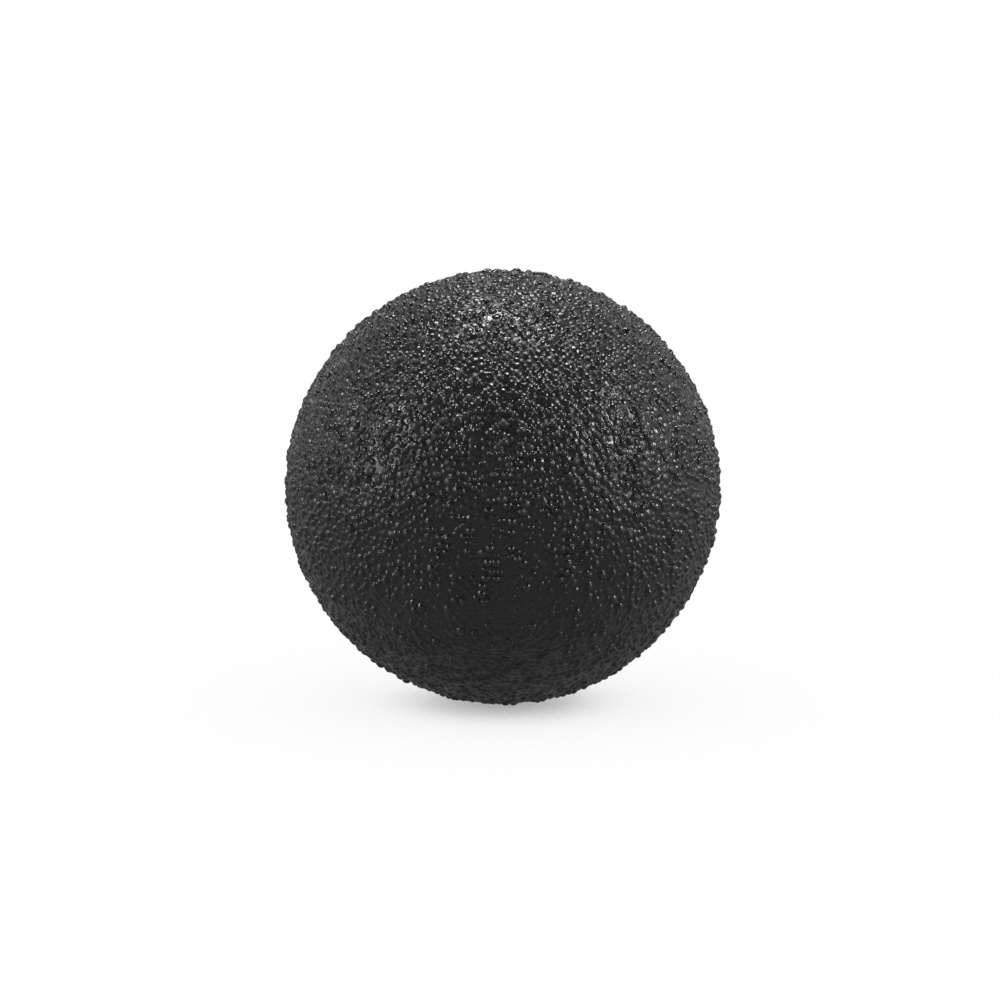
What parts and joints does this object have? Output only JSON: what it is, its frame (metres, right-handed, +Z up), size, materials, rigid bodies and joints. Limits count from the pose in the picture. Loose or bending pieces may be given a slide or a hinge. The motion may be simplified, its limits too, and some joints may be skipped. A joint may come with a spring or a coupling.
{
  "type": "case opening friction ball",
  "caption": "Small inflatable rubber ball with a fine pebbled cover and a needle valve, pressed on a screwed watch case back and turned by hand to open or close it.",
  "frame": {"origin": "on the bench, under the middle of the ball, at the centre of the small flat that it rests on", "axes": "+Z up; +Y from the ball's centre out through the needle valve at the back, so the plain side faces -Y; +X to the right seen from -Y"},
  "size_m": [0.065, 0.0648, 0.0648],
  "materials": {
    "cover_rubber": "moulded pebble grain, satin",
    "bladder_rubber": "smooth, talc dusted",
    "seam_tape": "calendered strip, matte",
    "patch_fabric": "rubberised plain weave",
    "valve_rubber": "moulded, satin",
    "core_rubber": "moulded, satin"
  },
  "bodies": {
    "ball": {"front_cover": "cover_rubber", "rear_cover": "cover_rubber", "front_bladder": "bladder_rubber", "rear_bladder": "bladder_rubber", "bladder_seam_tape": "seam_tape", "valve_patch": "patch_fabric", "valve_housing": "valve_rubber"},
    "core": {"valve_core": "core_rubber"}
  },
  "joints": [
    {"name": "core_pull", "type": "slide", "parent": "ball", "child": "core", "axis": [0, 1, 0], "range_m": [0, 0.02]}
  ]
}
